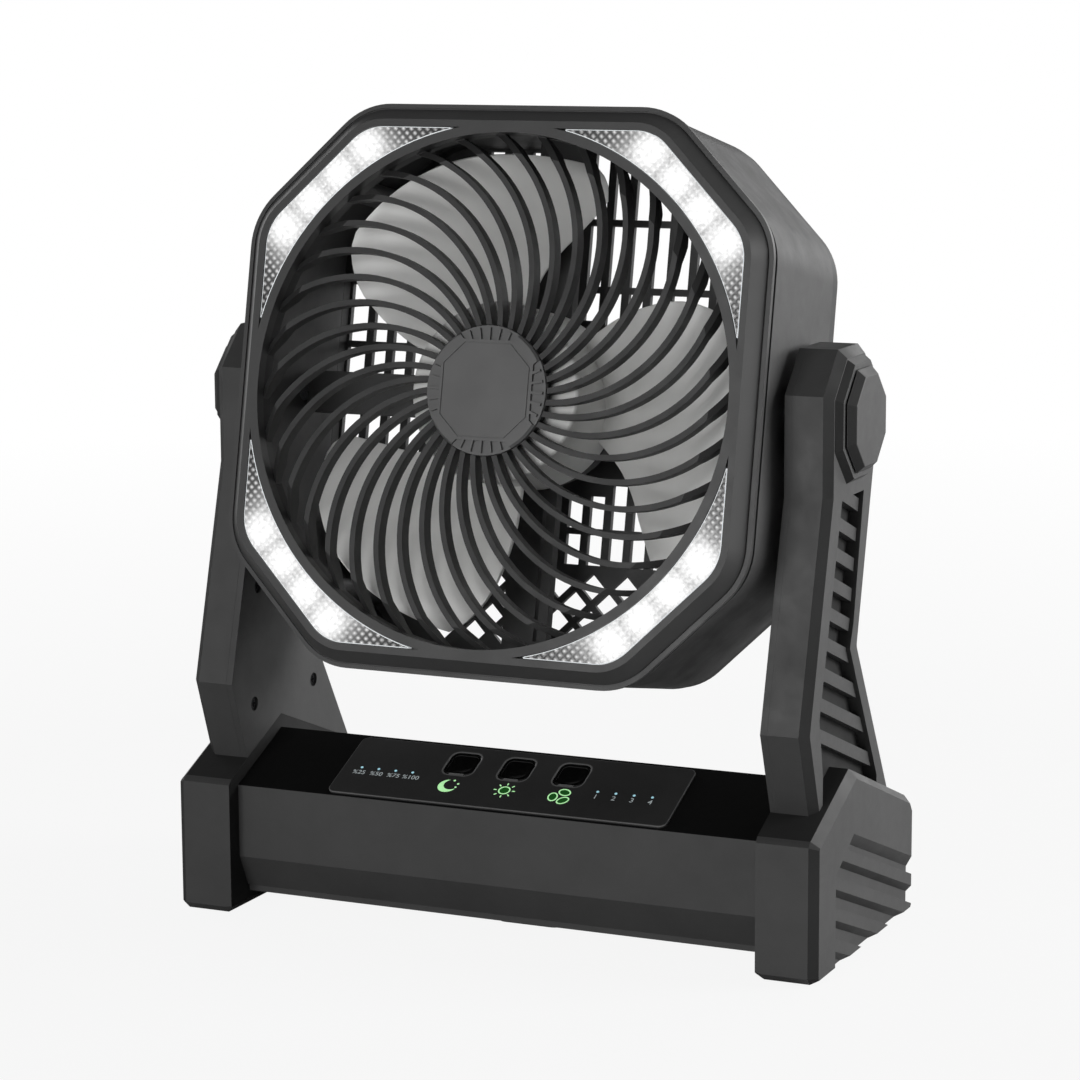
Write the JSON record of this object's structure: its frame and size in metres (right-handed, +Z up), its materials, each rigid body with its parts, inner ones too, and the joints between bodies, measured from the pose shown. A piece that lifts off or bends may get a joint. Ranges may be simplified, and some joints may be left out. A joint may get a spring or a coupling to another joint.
{
  "type": "portable fan",
  "caption": "Portable camping fan: octagonal tilting head with spiral grille and corner lights, held by two ribbed arms on a wedge-shaped battery base with push buttons.",
  "frame": {"origin": "on the floor under the middle of the base", "axes": "+X to the right seen from the front, +Y to the rear, +Z up; the fan faces -Y"},
  "size_m": [0.2512, 0.1206, 0.2966],
  "materials": {
    "dark_plastic": "matt, fine texture",
    "grille_plastic": "matt",
    "panel_plastic": "satin black",
    "button_plastic": "gloss black",
    "blade_plastic": "satin light grey",
    "lens_plastic": "clear, prismatic",
    "light_board": "white board with light chips",
    "led_plastic": "clear, lit pale blue",
    "rubber": "matt",
    "circuit_board": "green board",
    "cell_sleeve": "shrink sleeve",
    "steel": "plain",
    "washer_plastic": "waxy"
  },
  "bodies": {
    "base": {"base_shell": "dark_plastic", "base_plate": "dark_plastic", "end_cap_left": "dark_plastic", "end_cap_right": "dark_plastic", "foot_front_left": "rubber", "foot_front_right": "rubber", "foot_rear_left": "rubber", "foot_rear_right": "rubber", "foot_middle": "rubber", "control_panel": "panel_plastic", "charge_leds": "led_plastic", "speed_leds": "led_plastic", "control_board": "circuit_board", "battery_tray": "grille_plastic", "battery_cells": "cell_sleeve", "charge_port": "steel", "base_screws": "steel", "arm_left": "dark_plastic", "arm_right": "dark_plastic", "arm_cover_left": "dark_plastic", "arm_cover_right": "dark_plastic", "arm_screws_left": "steel", "arm_screws_right": "steel", "washer_left": "washer_plastic", "washer_right": "washer_plastic"},
    "head": {"pivot_pin_left": "steel", "pivot_pin_right": "steel", "head_shell": "dark_plastic", "head_bezel": "dark_plastic", "front_grille": "grille_plastic", "hub_badge": "dark_plastic", "lens_top_left": "lens_plastic", "lens_top_right": "lens_plastic", "lens_bottom_left": "lens_plastic", "lens_bottom_right": "lens_plastic", "light_board_top_left": "light_board", "light_board_top_right": "light_board", "light_board_bottom_left": "light_board", "light_board_bottom_right": "light_board", "rear_grille": "grille_plastic", "rear_screws": "steel", "motor_mount": "grille_plastic", "motor_body": "steel"},
    "impeller": {"impeller": "blade_plastic", "motor_shaft": "steel"},
    "knob_left_turn": {"knob_left": "dark_plastic"},
    "knob_right_turn": {"knob_right": "dark_plastic"},
    "night_button": {"button_night": "button_plastic"},
    "light_button": {"button_light": "button_plastic"},
    "fan_button": {"button_fan": "button_plastic"}
  },
  "joints": [
    {"name": "head_tilt", "type": "hinge", "parent": "base", "child": "head", "pos_m": [0, -0.00235, 0.1897], "axis": [1, 0, 0], "range_deg": [-102, 168]},
    {"name": "impeller_spin", "type": "hinge", "parent": "head", "child": "impeller", "pos_m": [0, -0.00235, 0.1897], "axis": [0, -0.9781, 0.2079], "continuous": true},
    {"name": "knob_left_spin", "type": "hinge", "parent": "base", "child": "knob_left_turn", "pos_m": [-0.122, -0.00235, 0.1897], "axis": [-1, 0, 0], "continuous": true},
    {"name": "knob_right_spin", "type": "hinge", "parent": "base", "child": "knob_right_turn", "pos_m": [0.122, -0.00235, 0.1897], "axis": [1, 0, 0], "continuous": true},
    {"name": "button_night_press", "type": "slide", "parent": "base", "child": "night_button", "axis": [0, 0.3998, -0.9166], "range_m": [0, 0.0006], "stiffness_N_per_m": 600, "springref_m": -0.0002},
    {"name": "button_light_press", "type": "slide", "parent": "base", "child": "light_button", "axis": [0, 0.3998, -0.9166], "range_m": [0, 0.0006], "stiffness_N_per_m": 600, "springref_m": -0.0002},
    {"name": "button_fan_press", "type": "slide", "parent": "base", "child": "fan_button", "axis": [0, 0.3998, -0.9166], "range_m": [0, 0.0006], "stiffness_N_per_m": 600, "springref_m": -0.0002}
  ]
}
